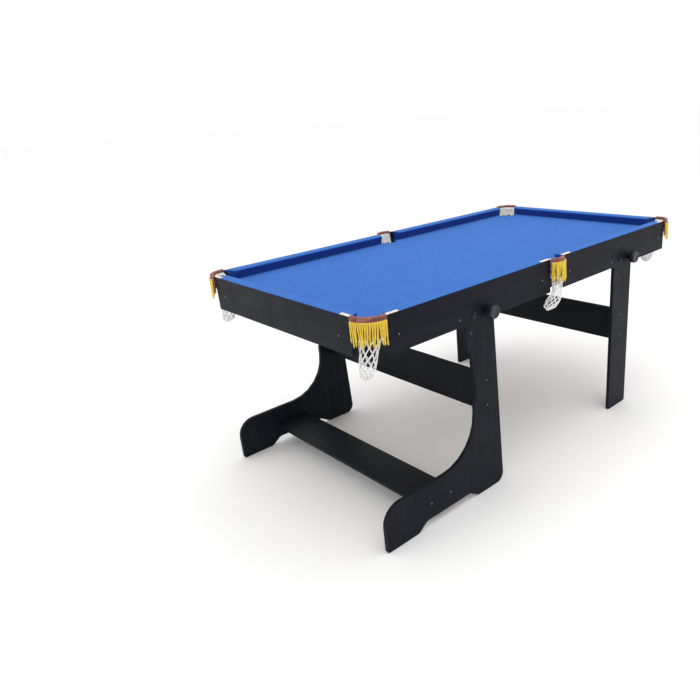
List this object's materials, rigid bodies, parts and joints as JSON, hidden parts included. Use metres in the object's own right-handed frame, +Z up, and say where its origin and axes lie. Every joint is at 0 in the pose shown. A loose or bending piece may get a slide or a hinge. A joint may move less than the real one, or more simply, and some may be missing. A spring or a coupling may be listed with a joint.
{
  "type": "folding pool table",
  "caption": "Home pool table on two folding leg frames: clothed bed and cushions, leather pockets with fringe and net, screw locks; the top swings upright for storage.",
  "frame": {"origin": "on the floor, below the middle of the table", "axes": "+X along the table from the curved legs to the straight legs, +Z up, -Y the side with the front pockets"},
  "size_m": [1.8492, 1.0826, 0.8208],
  "materials": {
    "black_board": "black wood-grain laminate on fibreboard, satin",
    "raw_board": "bare fibreboard",
    "blue_cloth": "napped woollen billiard cloth",
    "pocket_leather": "rolled oxblood leather",
    "pocket_iron": "plated pocket iron, slightly worn",
    "gold_fringe": "twisted golden-yellow rayon fringe",
    "white_net": "knotted white cotton cord",
    "black_plastic": "moulded",
    "dark_steel": "blackened"
  },
  "bodies": {
    "curved_leg_frame": {"curved_leg_front": "black_board", "curved_leg_rear": "black_board", "curved_leg_stretcher": "black_board", "curved_leg_foot_board": "black_board"},
    "tabletop": {"bed_board": "raw_board", "bed_cloth": "blue_cloth", "centre_bearer": "raw_board", "cushion_front_left": "blue_cloth", "cushion_front_right": "blue_cloth", "cushion_rear_left": "blue_cloth", "cushion_rear_right": "blue_cloth", "cushion_end_left": "blue_cloth", "cushion_end_right": "blue_cloth", "end_board_left": "black_board", "end_board_right": "black_board", "side_board_front_left": "black_board", "side_board_front_right": "black_board", "side_board_rear_left": "black_board", "side_board_rear_right": "black_board", "middle_pocket_back_front": "black_board", "middle_pocket_back_rear": "black_board", "pocket_iron_front_left": "pocket_iron", "pocket_iron_front_middle": "pocket_iron", "pocket_iron_front_right": "pocket_iron", "pocket_iron_rear_left": "pocket_iron", "pocket_iron_rear_middle": "pocket_iron", "pocket_iron_rear_right": "pocket_iron", "pocket_leather_front_left": "pocket_leather", "pocket_leather_front_middle": "pocket_leather", "pocket_leather_front_right": "pocket_leather", "pocket_leather_rear_left": "pocket_leather", "pocket_leather_rear_middle": "pocket_leather", "pocket_leather_rear_right": "pocket_leather", "pocket_fringe_front_left": "gold_fringe", "pocket_fringe_front_middle": "gold_fringe", "pocket_fringe_front_right": "gold_fringe", "pocket_fringe_rear_left": "gold_fringe", "pocket_fringe_rear_middle": "gold_fringe", "pocket_fringe_rear_right": "gold_fringe", "pocket_net_front_left": "white_net", "pocket_net_front_middle": "white_net", "pocket_net_front_right": "white_net", "pocket_net_rear_left": "white_net", "pocket_net_rear_middle": "white_net", "pocket_net_rear_right": "white_net", "pivot_bolt_front_left": "dark_steel", "pivot_bolt_front_right": "dark_steel", "pivot_bolt_rear_left": "dark_steel", "pivot_bolt_rear_right": "dark_steel"},
    "straight_leg_frame": {"straight_leg_front": "black_board", "straight_leg_rear": "black_board", "straight_leg_stretcher": "black_board"},
    "lock_washer_front_left": {"lock_washer_front_left": "dark_steel"},
    "lock_knob_front_left": {"lock_knob_front_left": "black_plastic"},
    "lock_washer_front_right": {"lock_washer_front_right": "dark_steel"},
    "lock_knob_front_right": {"lock_knob_front_right": "black_plastic"},
    "lock_washer_rear_left": {"lock_washer_rear_left": "dark_steel"},
    "lock_knob_rear_left": {"lock_knob_rear_left": "black_plastic"},
    "lock_washer_rear_right": {"lock_washer_rear_right": "dark_steel"},
    "lock_knob_rear_right": {"lock_knob_rear_right": "black_plastic"}
  },
  "joints": [
    {"name": "table_fold", "type": "hinge", "parent": "curved_leg_frame", "child": "tabletop", "pos_m": [-0.465, 0, 0.713], "axis": [0, -1, 0], "range_deg": [0, 90], "deforming": ["pocket_net_front_left", "pocket_net_front_middle", "pocket_net_front_right", "pocket_net_rear_left", "pocket_net_rear_middle", "pocket_net_rear_right", "pocket_fringe_front_left", "pocket_fringe_front_middle", "pocket_fringe_front_right", "pocket_fringe_rear_left", "pocket_fringe_rear_middle", "pocket_fringe_rear_right"]},
    {"name": "straight_leg_fold", "type": "hinge", "parent": "tabletop", "child": "straight_leg_frame", "pos_m": [0.465, 0, 0.713], "axis": [0, 1, 0], "range_deg": [0, 90]},
    {"name": "lock_slide_front_left", "type": "slide", "parent": "tabletop", "child": "lock_washer_front_left", "axis": [0, -1, 0], "range_m": [0, 0.03]},
    {"name": "lock_spin_front_left", "type": "hinge", "parent": "lock_washer_front_left", "child": "lock_knob_front_left", "pos_m": [-0.398, -0.5, 0.713], "axis": [0, -1, 0], "continuous": true},
    {"name": "lock_slide_front_right", "type": "slide", "parent": "tabletop", "child": "lock_washer_front_right", "axis": [0, -1, 0], "range_m": [0, 0.03]},
    {"name": "lock_spin_front_right", "type": "hinge", "parent": "lock_washer_front_right", "child": "lock_knob_front_right", "pos_m": [0.532, -0.5, 0.713], "axis": [0, -1, 0], "continuous": true},
    {"name": "lock_slide_rear_left", "type": "slide", "parent": "tabletop", "child": "lock_washer_rear_left", "axis": [0, 1, 0], "range_m": [0, 0.03]},
    {"name": "lock_spin_rear_left", "type": "hinge", "parent": "lock_washer_rear_left", "child": "lock_knob_rear_left", "pos_m": [-0.398, 0.5, 0.713], "axis": [0, 1, 0], "continuous": true},
    {"name": "lock_slide_rear_right", "type": "slide", "parent": "tabletop", "child": "lock_washer_rear_right", "axis": [0, 1, 0], "range_m": [0, 0.03]},
    {"name": "lock_spin_rear_right", "type": "hinge", "parent": "lock_washer_rear_right", "child": "lock_knob_rear_right", "pos_m": [0.532, 0.5, 0.713], "axis": [0, 1, 0], "continuous": true}
  ]
}
